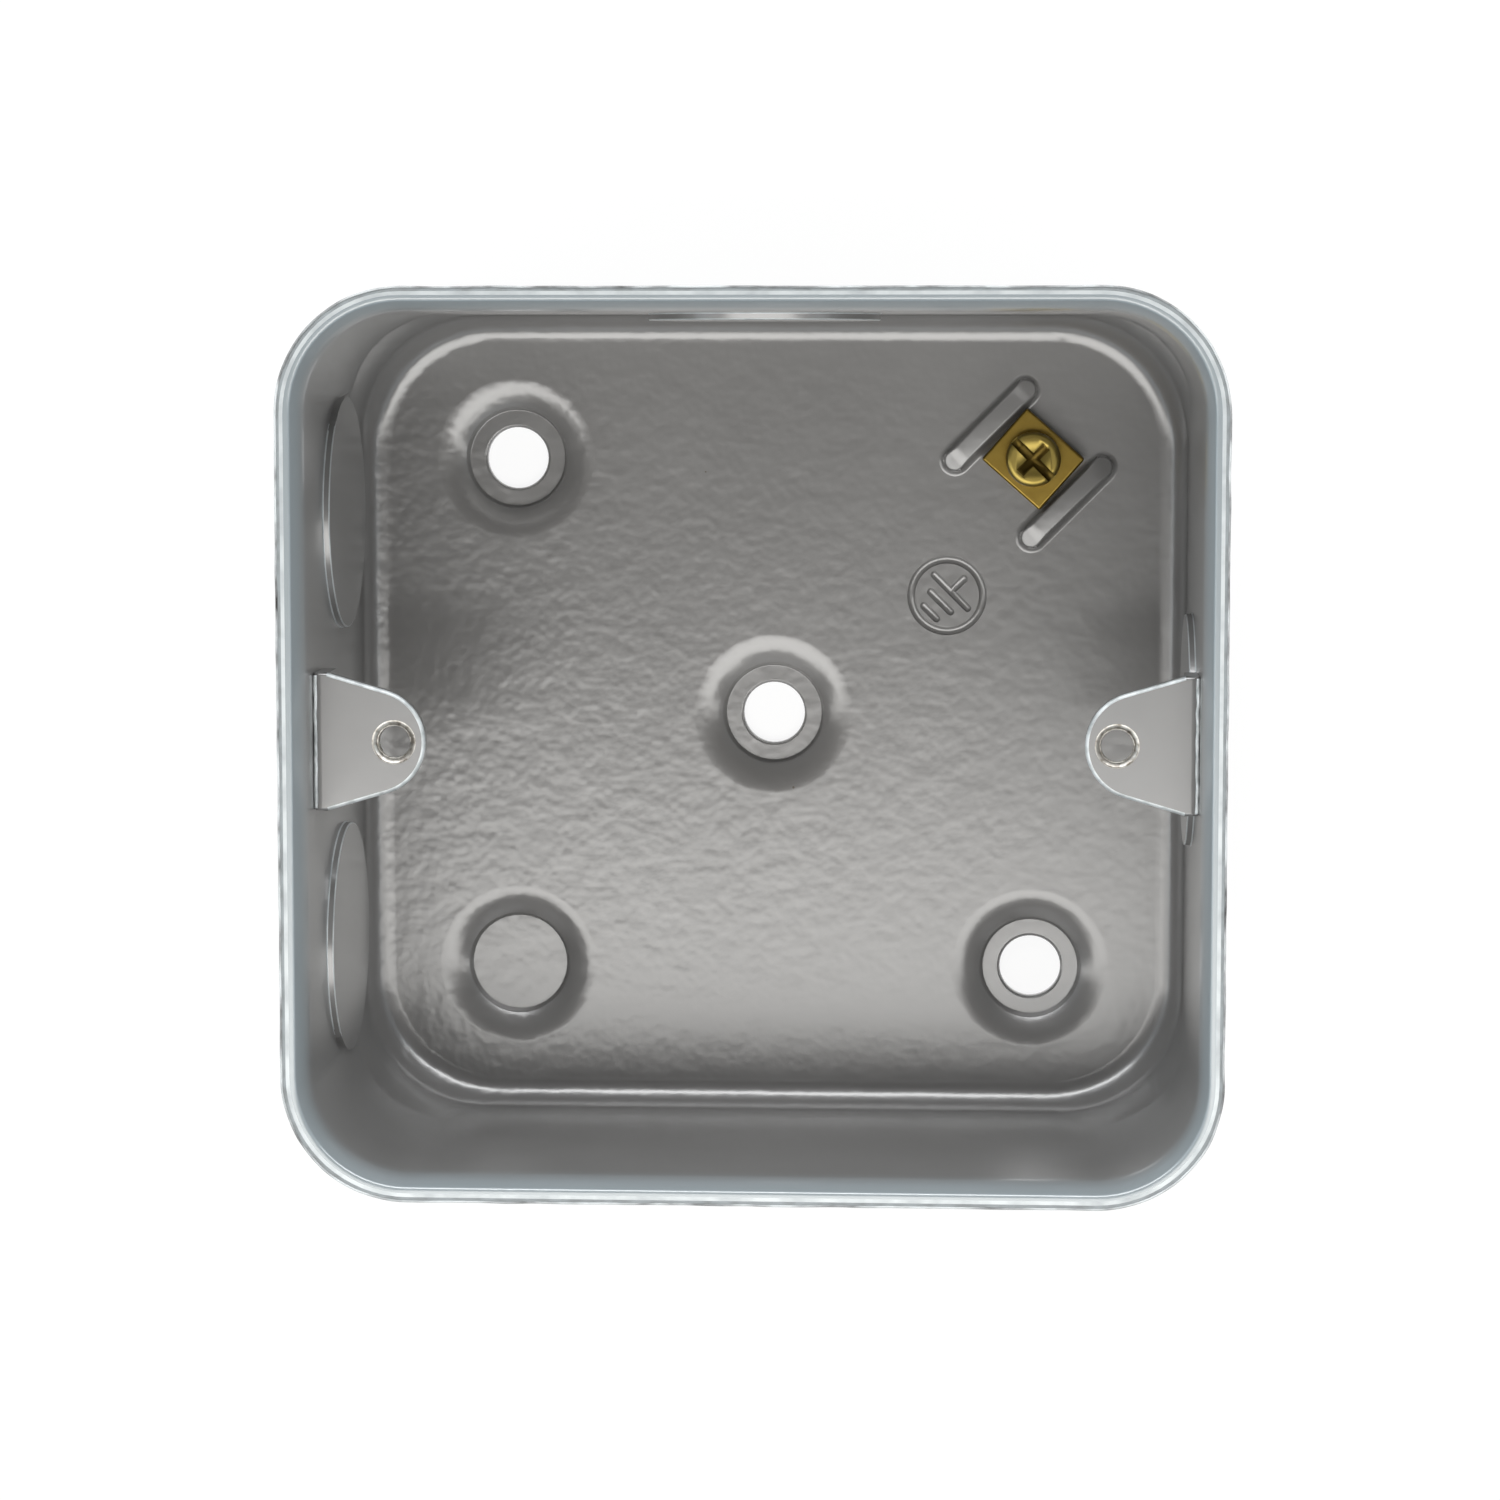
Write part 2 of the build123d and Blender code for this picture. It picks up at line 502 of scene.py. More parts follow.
def cad_copy(node: str) -> BMesh:
    """Copies a node's mesh, merges its loose triangles and makes all its edges smooth.

    Args:
        node: name of the node.

    Returns:
        The merged mesh.
    """
    mesh = bmesh.new()
    mesh.from_mesh(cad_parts[node].data)
    bmesh.ops.remove_doubles(mesh, verts=mesh.verts, dist=MERGE_DISTANCE)
    for edge in mesh.edges:
        edge.smooth = True
    return mesh


def in_order(data: bpy.types.Mesh) -> BMesh:
    """Copies a mesh with its points and faces sorted by place, because a cut leaves them in any order.

    Args:
        data: the mesh to copy.

    Returns:
        The sorted copy.
    """
    spots = [vert.co.to_tuple(SORT_DIGITS) for vert in data.vertices]
    order = sorted(range(len(spots)), key=lambda number: spots[number])
    rank = {number: place for place, number in enumerate(order)}
    rows = []
    for face in data.polygons:
        row = [rank[number] for number in face.vertices]
        start = row.index(min(row))
        rows.append(row[start:] + row[:start])
    mesh = bmesh.new()
    points = [mesh.verts.new(data.vertices[number].co) for number in order]
    for row in sorted(rows):
        mesh.faces.new([points[place] for place in row])
    mesh.normal_update()
    return mesh


def join_flats(mesh: BMesh, keep: Callable[[BMEdge], bool] = lambda edge: False) -> BMesh:
    """Joins the triangles of a mesh that lie in one plane.

    Args:
        mesh: the mesh to change.
        keep: test of the edges that stay.

    Returns:
        The same mesh.
    """
    edges = [edge for edge in mesh.edges if not keep(edge)]
    bmesh.ops.dissolve_limit(mesh, angle_limit=FLAT_ANGLE, verts=mesh.verts, edges=edges)
    return mesh


def sharp_edges(mesh: BMesh, where: Callable[[Vector], bool] = lambda middle: True) -> list[BMEdge]:
    """Lists the edges where a mesh turns sharply.

    Args:
        mesh: the mesh.
        where: test of the middle of an edge.

    Returns:
        The sharp edges that pass the test.
    """
    turned = [edge for edge in mesh.edges if edge.is_manifold and edge.calc_face_angle() > SHARP_ANGLE]
    return [edge for edge in turned if where((edge.verts[0].co + edge.verts[1].co) / 2)]


def round_off(mesh: BMesh, edges: list[BMEdge], radius_mm: float, segments: int = 2) -> list[BMFace]:
    """Rounds edges of a mesh.

    Args:
        mesh: the mesh to change.
        edges: the edges to round.
        radius_mm: how far the round reaches from the edge.
        segments: number of facets across the round.

    Returns:
        The faces of the rounds.
    """
    made = bmesh.ops.bevel(
        mesh,
        geom=edges,
        offset=radius_mm * MM,
        offset_type="OFFSET",
        affect="EDGES",
        segments=segments,
        profile=0.5,
        material=-1,
        clamp_overlap=False,
    )
    return made["faces"]


def to_object(name: str, mesh: BMesh, materials: Iterable[bpy.types.Material] = ()) -> bpy.types.Object:
    """Turns a mesh into a smooth shaded object at the origin and frees the mesh.

    Args:
        name: name of the object.
        mesh: its mesh, in place.
        materials: its materials, in the order of the faces' numbers.

    Returns:
        The object, linked to the scene.
    """
    data = bpy.data.meshes.new(name)
    mesh.to_mesh(data)
    mesh.free()
    data.shade_smooth()
    for material in materials:
        data.materials.append(material)
    made = bpy.data.objects.new(name, data)
    bpy.context.scene.collection.objects.link(made)
    return made


def carve(mesh: BMesh, cutter: BMesh) -> BMesh:
    """Cuts one closed mesh out of another.

    Args:
        mesh: the mesh to cut, freed here.
        cutter: the mesh to take away, freed here.

    Returns:
        What is left.
    """
    body = to_object("carve_body", mesh)
    tool = to_object("carve_tool", cutter)
    cut = body.modifiers.new("cut", "BOOLEAN")
    cut.object = tool
    cut.operation = "DIFFERENCE"
    cut.solver = "EXACT"
    cut.use_self = True
    left = bpy.data.meshes.new_from_object(body.evaluated_get(bpy.context.evaluated_depsgraph_get()))
    result = in_order(left)
    bpy.data.meshes.remove(left)
    for used in (body, tool):
        data = used.data
        bpy.data.objects.remove(used)
        bpy.data.meshes.remove(data)
    return result


def add_piece(
    name: str, mesh: BMesh, materials: Iterable[bpy.types.Material], node: Optional[str] = None
) -> bpy.types.Object:
    """Makes a finished piece that rides on the box.

    Args:
        name: name of the piece.
        mesh: its mesh, in place, freed here.
        materials: its materials, in the order of the faces' numbers.
        node: node that it stands for, if any.

    Returns:
        The piece.
    """
    piece = to_object(name, mesh, materials)
    even = piece.modifiers.new("even_shading", "WEIGHTED_NORMAL")
    even.mode = "FACE_AREA"
    even.keep_sharp = True
    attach(piece, BODY)
    if node:
        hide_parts(node)
    log.info("%s: %d faces", name, len(piece.data.polygons))
    return piece


@dataclass
class EarthMark:
    """Protective earth sign of shallow grooves in the floor: a ring around three bars and a stem."""

    centre: tuple[float, float] = (15.61, 10.74)
    turn: float = math.radians(-45)
    ring_radius: float = 3.22
    bar_heights: tuple[float, ...] = (0.5, -0.81, -2.13)
    bar_lengths: tuple[float, ...] = (4.9, 3.2, 2.3)
    stem_top: float = 2.46
    line_width: float = 0.7
    line_depth: float = 0.25
    tool_sides: int = 20
    ball_rows: int = 11
    ring_steps: int = 96

    @property
    def tool_radius(self) -> float:
        """Radius of the round tool whose chord is the line's width."""
        return (self.line_width ** 2 / 4 + self.line_depth ** 2) / (2 * self.line_depth)

    def holds(self, spot: Vector) -> bool:
        """Tells whether a spot lies above or below the sign."""
        return (spot.xy - Vector(self.centre) * MM).length < (self.ring_radius + self.line_width) * MM

    def groove(self, mesh: BMesh, middle: tuple[float, float], length: float, upright: bool) -> None:
        """Adds the tool of one straight groove, a long round-ended bar.

        Args:
            mesh: the mesh that gets it, in the sign's own frame.
            middle: middle of the groove.
            length: length of the groove.
            upright: whether it runs along the sign's height.
        """
        ball = bmesh.ops.create_uvsphere(
            mesh, u_segments=self.tool_sides, v_segments=self.ball_rows, radius=self.tool_radius
        )["verts"]
        reach = length / 2 - self.line_width / 2
        for way in (1, -1):
            half = [vert for vert in ball if way * vert.co.z > 0]
            bmesh.ops.translate(mesh, verts=half, vec=(0, 0, way * reach))
        lay = Matrix.Rotation(math.pi / 2, 3, "X" if upright else "Y")
        bmesh.ops.rotate(mesh, verts=ball, cent=(0, 0, 0), matrix=lay)
        bmesh.ops.translate(mesh, verts=ball, vec=(*middle, 0))

    def tool(self, floor_z: float) -> BMesh:
        """Makes the tool that presses the sign.

        Args:
            floor_z: height of the floor in metres.

        Returns:
            The tool in its place.
        """
        mesh = bmesh.new()
        for height, length in zip(self.bar_heights, self.bar_lengths):
            self.groove(mesh, (0, height), length, upright=False)
        stem_foot = self.bar_heights[0] - self.line_width / 2
        stem_middle = (0, (self.stem_top + stem_foot) / 2)
        self.groove(mesh, stem_middle, self.stem_top - stem_foot, upright=True)
        ring = bmesh.ops.create_circle(mesh, segments=self.tool_sides, radius=self.tool_radius)["verts"]
        bmesh.ops.rotate(mesh, verts=ring, cent=(0, 0, 0), matrix=Matrix.Rotation(math.pi / 2, 3, "X"))
        bmesh.ops.translate(mesh, verts=ring, vec=(self.ring_radius, 0, 0))
        edges = list(dict.fromkeys(edge for vert in ring for edge in vert.link_edges))
        bmesh.ops.spin(
            mesh,
            geom=ring + edges,
            cent=(0, 0, 0),
            axis=(0, 0, 1),
            angle=FULL_TURN,
            steps=self.ring_steps,
            use_merge=True,
        )
        bmesh.ops.recalc_face_normals(mesh, faces=mesh.faces)
        rise = self.tool_radius - self.line_depth
        bmesh.ops.translate(mesh, verts=mesh.verts, vec=(0, 0, rise))
        bmesh.ops.rotate(mesh, verts=mesh.verts, cent=(0, 0, 0), matrix=Matrix.Rotation(self.turn, 3, "Z"))
        bmesh.ops.scale(mesh, verts=mesh.verts, vec=(MM, MM, MM))
        place = (self.centre[0] * MM, self.centre[1] * MM, floor_z)
        bmesh.ops.translate(mesh, verts=mesh.verts, vec=place)
        return mesh


@dataclass
class DrawnShell:
    """The drawn box with its feet, ribs and knockouts, softened by its enamel, and the burr on its rim."""

    floor_mm: float = 2.5
    entry_mm: float = 16.3
    entry_radius: float = 10.0
    entry_margin: float = 0.3
    entry_slopes: tuple[float, float] = (0.3, 0.95)
    entries: tuple[tuple[int, int, float], ...] = (
        (0, -1, 18.6),
        (0, -1, -18.6),
        (0, 1, 0.0),
        (1, 1, 0.0),
    )
    wall_inside: float = 34.0
    corner_start: float = 26.3
    edge_round: float = 0.1
    rim_round: float = 0.18
    rim_band: float = 0.42
    rim_corner: float = 10.4
    feet: tuple[tuple[float, float], ...] = ((0, 0), (-23.25, 23), (23.25, -23), (-23.25, -23))
    foot_mouth: tuple[float, float] = (5.7, 7.0)
    foot_mouth_round: float = 0.42
    hole_radius: float = 2.75
    hole_margin: float = 0.1
    hole_round: float = 0.25
    rib_centre: tuple[float, float] = TERMINAL_MM
    rib_reach: float = 9.0
    rib_foot_round: float = 0.4
    rib_top_round: float = 0.18
    burr_width: float = 0.17
    burr_height: float = 0.12
    burr_sink: float = 0.07
    burr_wander: float = 0.05
    burr_wave_mm: float = 2.4
    burr_corner_steps: int = 40
    burr_side_cuts: int = 130
    level_normal: float = 0.99
    upright_normal: float = 0.05
    underside_normal: float = -0.1
    mark: EarthMark = field(default_factory=EarthMark)

    def split_walls(self, mesh: BMesh) -> None:
        """Cuts the walls along the middle of the knockouts, so that no joined flat runs round one.

        Args:
            mesh: mesh of the shell.
        """
        everything = mesh.verts[:] + mesh.edges[:] + mesh.faces[:]
        middle = (0, 0, self.entry_mm * MM)
        bmesh.ops.bisect_plane(
            mesh, geom=everything, dist=MERGE_DISTANCE, plane_co=middle, plane_no=(0, 0, 1)
        )

    def on_split(self, edge: BMEdge) -> bool:
        """Tells whether an edge runs along the cut through the knockouts."""
        return all(abs(vert.co.z - self.entry_mm * MM) < 2 * MERGE_DISTANCE for vert in edge.verts)

    def on_entry_edge(self, face: BMFace) -> bool:
        """Tells whether a face rounds an edge of the sheared step around a knockout.

        Args:
            face: a face of the shell.

        Returns:
            Whether it does.
        """
        middle = face.calc_center_median() / MM
        flattest, steepest = self.entry_slopes
        for across, way, along in self.entries:
            reach = math.hypot(middle[1 - across] - along, middle.z - self.entry_mm)
            on_wall = way * middle[across] > self.wall_inside
            near = on_wall and abs(reach - self.entry_radius) < self.entry_margin
            if near and flattest < abs(face.normal[across]) < steepest:
                return True
        return False

    def off_ribs(self, middle: Vector) -> bool:
        """Tells whether an edge lies away from the ribs."""
        return (middle.xy - Vector(self.rib_centre) * MM).length > self.rib_reach * MM

    def plain(self, middle: Vector) -> bool:
        """Tells whether an edge lies away from the ribs, the sign and the knockouts' ends in the corners.

        Args:
            middle: middle of the edge.

        Returns:
            Whether it does.
        """
        level = abs(middle.z / MM - self.entry_mm) < self.entry_radius + self.entry_margin
        in_corner = level and min(abs(middle.x), abs(middle.y)) > self.corner_start * MM
        return self.off_ribs(middle) and not self.mark.holds(middle) and not in_corner

    def at_rib_foot(self, middle: Vector) -> bool:
        """Tells whether an edge lies where a rib meets the floor."""
        return not self.off_ribs(middle) and abs(middle.z - self.floor_mm * MM) < MERGE_DISTANCE

    def on_rib(self, middle: Vector) -> bool:
        """Tells whether an edge lies on the upper part of a rib."""
        return not self.off_ribs(middle) and middle.z > (self.floor_mm + self.rib_foot_round) * MM

    def foot_edges(self, mesh: BMesh, low: float, high: float) -> list[BMEdge]:
        """Lists the edges that run round the upper side of a foot between two distances from its axis.

        Args:
            mesh: mesh of the shell.
            low: least distance in millimetres.
            high: greatest distance in millimetres.

        Returns:
            The edges that run round, without those of the floor's underside.
        """
        found = []
        for edge in mesh.edges:
            if not edge.is_manifold:
                continue
            if min(face.normal.z for face in edge.link_faces) < self.underside_normal:
                continue
            if abs(edge.verts[0].co.z - edge.verts[1].co.z) > MERGE_DISTANCE:
                continue
            for foot in self.feet:
                reach = [(vert.co.xy - Vector(foot) * MM).length / MM for vert in edge.verts]
                if low < min(reach) and max(reach) < high:
                    found.append(edge)
        return [edge for edge in found if edge.calc_face_angle() > FOOT_ANGLE]

    def dress_rim(self, mesh: BMesh) -> None:
        """Divides the rim's flat into a cut band, a pale line and enamel, and rounds its inner edge; the pale
        line is thin enamel with a painted highlight.

        Args:
            mesh: mesh of the shell.
        """
        rim_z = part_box("box_shell")[1].z - MERGE_DISTANCE
        level = [face for face in mesh.faces if face.normal.z > self.level_normal]
        top = [face for face in level if face.calc_center_median().z > rim_z]
        made = bmesh.ops.inset_region(mesh, faces=top, thickness=self.rim_band * MM, use_even_offset=True)
        # The rim's middle line gets the pale finish: thin enamel with a painted highlight.
        for face in top:
            face.material_index = Layer.THIN.value
        inner = []
        for face in made["faces"]:
            for edge in face.edges:
                slope = min(side.normal.z for side in edge.link_faces)
                if slope < self.upright_normal:
                    face.material_index = Layer.CUT.value
                elif slope < self.level_normal:
                    inner.append(edge)
        round_off(mesh, inner, self.rim_round, segments=3)

    def build_shell(
        self, enamel: bpy.types.Material, edge_highlight: bpy.types.Material, trimmed: bpy.types.Material
    ) -> bpy.types.Object:
        """Makes the enamelled shell.

        Args:
            enamel: its finish.
            edge_highlight: finish of the pale line along the middle of the rim and of the knockouts' sheared
                steps, thin enamel with a painted highlight.
            trimmed: finish of the rim's outer band.

        Returns:
            The shell.
        """
        mesh = carve(cad_copy("box_shell"), self.mark.tool(self.floor_mm * MM))
        self.split_walls(mesh)
        join_flats(mesh, self.on_split)
        self.dress_rim(mesh)
        round_off(mesh, self.foot_edges(mesh, *self.foot_mouth), self.foot_mouth_round, segments=3)
        least = self.hole_radius - self.hole_margin
        most = self.hole_radius + self.hole_margin
        round_off(mesh, self.foot_edges(mesh, least, most), self.hole_round, segments=3)
        round_off(mesh, sharp_edges(mesh, self.at_rib_foot), self.rib_foot_round, segments=4)
        round_off(mesh, sharp_edges(mesh, self.on_rib), self.rib_top_round)
        round_off(mesh, sharp_edges(mesh, self.plain), self.edge_round)
        for edge in sharp_edges(mesh, self.mark.holds):
            edge.smooth = False
        # The knockouts' sheared steps get the pale finish, a painted highlight along their edges.
        for face in mesh.faces:
            if self.on_entry_edge(face):
                face.material_index = Layer.THIN.value
        return add_piece("enamelled_shell", mesh, [enamel, edge_highlight, trimmed], "box_shell")

    def build_burr(self, steel: bpy.types.Material) -> bpy.types.Object:
        """Makes the uneven burr along the outer edge of the rim.

        Args:
            steel: its finish.

        Returns:
            The burr.
        """
        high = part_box("box_shell")[1]
        mesh = bmesh.new()
        bmesh.ops.create_grid(mesh, x_segments=1, y_segments=1, size=1.0)
        bmesh.ops.scale(mesh, verts=mesh.verts, vec=(high.x, high.y, 1))
        bmesh.ops.bevel(
            mesh,
            geom=mesh.verts,
            offset=self.rim_corner * MM,
            offset_type="OFFSET",
            affect="VERTICES",
            segments=self.burr_corner_steps,
            profile=0.5,
            material=-1,
        )
        long_sides = [edge for edge in mesh.edges if edge.calc_length() > self.rim_corner * MM]
        bmesh.ops.subdivide_edges(mesh, edges=long_sides, cuts=self.burr_side_cuts)
        bmesh.ops.inset_region(mesh, faces=mesh.faces[:], thickness=self.burr_width * MM, use_boundary=True)
        inner = max(mesh.faces, key=lambda face: face.calc_area())
        bmesh.ops.delete(mesh, geom=[inner], context="FACES_ONLY")
        bmesh.ops.translate(mesh, verts=mesh.verts, vec=(0, 0, high.z - self.burr_sink * MM))
        made = bmesh.ops.extrude_face_region(mesh, geom=mesh.faces[:], use_keep_orig=True)["geom"]
        raised = [part for part in made if isinstance(part, BMVert)]
        bmesh.ops.translate(mesh, verts=raised, vec=(0, 0, self.burr_height * MM))
        for vert in mesh.verts:
            wander = noise.noise_vector(vert.co / (self.burr_wave_mm * MM))
            vert.co += wander * self.burr_wander * MM
        bmesh.ops.recalc_face_normals(mesh, faces=mesh.faces)
        return add_piece("rim_burr", mesh, [steel])


@dataclass
class ScrewLug:
    """A folded lug with its enamel, the bare mouth of its tapped hole and the thread."""

    side: Side
    hole_spacing: float = 60.3
    bare_radius: float = 1.8
    core_radius: float = 1.45
    thread_depth: float = 0.12
    thread_pitch: float = 0.6
    thread_turns: float = 1.6
    edge_round: float = 0.1
    edge_depth: float = 0.5
    fold_reach: float = 1.0
    bead_radius: float = 0.17
    bead_length: float = 11.2
    bead_drop: float = 0.2
    bead_wander: float = 0.09
    bead_wave_mm: float = 0.9
    bead_sides: int = 12
    bead_cuts: int = 48
    thread_half_share: float = 0.42
    thread_steps: int = 48
    thread_drop: float = 0.05
    flat_normal: float = 0.98
    edge_normal: float = 0.2

    @property
    def axis(self) -> Vector:
        """Point on the axis of the tapped hole, at the tab's top."""
        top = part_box(self.side.node)[1].z
        return Vector((self.side.sign * self.hole_spacing / 2 * MM, 0, top))

    def layer(self, face: BMFace) -> Optional[Layer]:
        """Finds the finish of a face that isn't plain enamel.

        Args:
            face: a face of the lug.

        Returns:
            Cut steel in the tapped hole, a painted highlight along the tab's upper edge, and otherwise
            nothing.
        """
        centre = face.calc_center_median()
        middle = centre - self.axis
        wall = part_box(self.side.node)[max(0, self.side.sign)]
        to_wall = self.side.sign * (wall.x - centre.x)
        if abs(face.normal.z) > self.flat_normal:
            return None
        if middle.xy.length < self.bare_radius * MM:
            return Layer.CUT
        # The tab's upper edge gets the pale finish, a painted highlight.
        on_edge = middle.z > -self.edge_depth * MM and face.normal.z > self.edge_normal
        return Layer.THIN if on_edge and to_wall > self.fold_reach * MM else None

    def build_lug(
        self, enamel: bpy.types.Material, edge_highlight: bpy.types.Material, steel: bpy.types.Material
    ) -> bpy.types.Object:
        """Makes the lug.

        Args:
            enamel: finish of the lug.
            edge_highlight: finish of its upper edge, a painted highlight.
            steel: finish of the tapped hole.

        Returns:
            The lug.
        """
        mesh = join_flats(cad_copy(self.side.node))
        round_off(mesh, sharp_edges(mesh), self.edge_round)
        for face in mesh.faces:
            layer = self.layer(face)
            face.material_index = layer.value if layer else 0
        node = self.side.node
        return add_piece(f"enamelled_{node}", mesh, [enamel, edge_highlight, steel], node)

    def build_bead(self, edge_highlight: bpy.types.Material) -> bpy.types.Object:
        """Makes the uneven bead of enamel that has run into the groove between the fold and the wall.

        Args:
            edge_highlight: its finish, a pale colour that paints the bead's highlight.

        Returns:
            The bead.
        """
        mesh = bmesh.new()
        radius = self.bead_radius * MM
        bmesh.ops.create_cone(
            mesh,
            cap_ends=True,
            segments=self.bead_sides,
            radius1=radius,
            radius2=radius,
            depth=self.bead_length * MM,
        )
        along = [edge for edge in mesh.edges if edge.calc_length() > 2 * radius]
        bmesh.ops.subdivide_edges(mesh, edges=along, cuts=self.bead_cuts)
        bmesh.ops.rotate(mesh, verts=mesh.verts, cent=(0, 0, 0), matrix=Matrix.Rotation(math.pi / 2, 3, "X"))
        low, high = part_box(self.side.node)
        wall_x = high.x if self.side.sign > 0 else low.x
        place = (wall_x - self.side.sign * radius, 0, high.z - self.bead_drop * MM)
        bmesh.ops.translate(mesh, verts=mesh.verts, vec=place)
        for vert in mesh.verts:
            vert.co += noise.noise_vector(vert.co / (self.bead_wave_mm * MM)) * self.bead_wander * MM
        return add_piece(f"{self.side.node}_enamel_bead", mesh, [edge_highlight])

    def build_thread(self, steel: bpy.types.Material) -> bpy.types.Object:
        """Makes the thread inside the hole as a helical ridge.

        Args:
            steel: its finish.

        Returns:
            The thread.
        """
        mesh = bmesh.new()
        outer = self.core_radius
        inner = outer - self.thread_depth
        half = self.thread_pitch * self.thread_half_share
        corners = [(outer, 0, half), (inner, 0, 0), (outer, 0, -half)]
        ridge = [mesh.verts.new(Vector(corner) * MM) for corner in corners]
        mesh.faces.new(ridge)
        steps = int(self.thread_turns * self.thread_steps)
        bmesh.ops.spin(
            mesh,
            geom=mesh.verts[:] + mesh.edges[:] + mesh.faces[:],
            cent=(0, 0, 0),
            axis=(0, 0, 1),
            dvec=(0, 0, -self.thread_pitch * self.thread_turns / steps * MM),
            angle=self.thread_turns * FULL_TURN,
            steps=steps,
        )
        drop = Vector((0, 0, (half + self.thread_drop) * MM))
        bmesh.ops.translate(mesh, verts=mesh.verts, vec=self.axis - drop)
        bmesh.ops.recalc_face_normals(mesh, faces=mesh.faces)
        return add_piece(f"{self.side.node}_thread", mesh, [steel])


@dataclass
class EarthTerminal:
    """The brass clamp plate and its screw."""

    plate_round: float = 0.08
    screw_round: float = 0.06
    screw_axis: tuple[float, float] = TERMINAL_MM
    recess_reach: float = 1.75
    recess_lip: float = 0.15
    head_depth: float = 1.6

    def outside_recess(self, middle: Vector) -> bool:
        """Tells whether a spot of the screw lies further out than its cross."""
        return (middle.xy - Vector(self.screw_axis) * MM).length > self.recess_reach * MM

    def in_recess(self, middle: Vector) -> bool:
        """Tells whether a spot of the screw lies in the depth of its cross.

        Args:
            middle: the spot.

        Returns:
            Whether it does.
        """
        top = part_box("earth_screw")[1].z
        deep = top - self.head_depth * MM < middle.z < top - self.recess_lip * MM
        return deep and not self.outside_recess(middle)

    def build_plate(self, brass: bpy.types.Material) -> bpy.types.Object:
        """Makes the clamp plate.

        Args:
            brass: its finish.

        Returns:
            The plate.
        """
        mesh = join_flats(cad_copy("earth_clamp_plate"))
        round_off(mesh, sharp_edges(mesh), self.plate_round)
        return add_piece("brass_clamp_plate", mesh, [brass], "earth_clamp_plate")

    def build_screw(self, brass: bpy.types.Material, recess_shade: bpy.types.Material) -> bpy.types.Object:
        """Makes the earth screw.

        Args:
            brass: its finish.
            recess_shade: finish in the depth of its cross, darker brass as painted shade.

        Returns:
            The screw.
        """
        mesh = join_flats(cad_copy("earth_screw"))
        round_off(mesh, sharp_edges(mesh, self.outside_recess), self.screw_round)
        for face in mesh.faces:
            # Faces in the depth of the cross get the darker brass, painted shade.
            face.material_index = int(self.in_recess(face.calc_center_median()))
        return add_piece("brass_earth_screw", mesh, [brass, recess_shade], "earth_screw")


@dataclass(frozen=True)
class SoftBox:
    """A flat studio lamp, in metres, with its brightness as seen from the object."""

    name: str
    place: tuple[float, float, float]
    aim: tuple[float, float, float]
    size: tuple[float, float]
    brightness: float
    colour: str = "#ffffff"

    def build(self) -> bpy.types.Object:
        """Makes the lamp.

        Returns:
            The lamp.
        """
        lamp = bpy.data.lights.new(self.name, "AREA")
        lamp.shape = "RECTANGLE"
        lamp.size, lamp.size_y = self.size
        lamp.energy = self.brightness * LAMP_SPREAD * self.size[0] * self.size[1]
        lamp.color = linear(self.colour)[:3]
        made = bpy.data.objects.new(self.name, lamp)
        made.location = self.place
        look = Vector(self.aim) - Vector(self.place)
        made.rotation_euler = look.to_track_quat("-Z", "Y").to_euler()
        made.visible_camera = False
        bpy.context.scene.collection.objects.link(made)
        return made


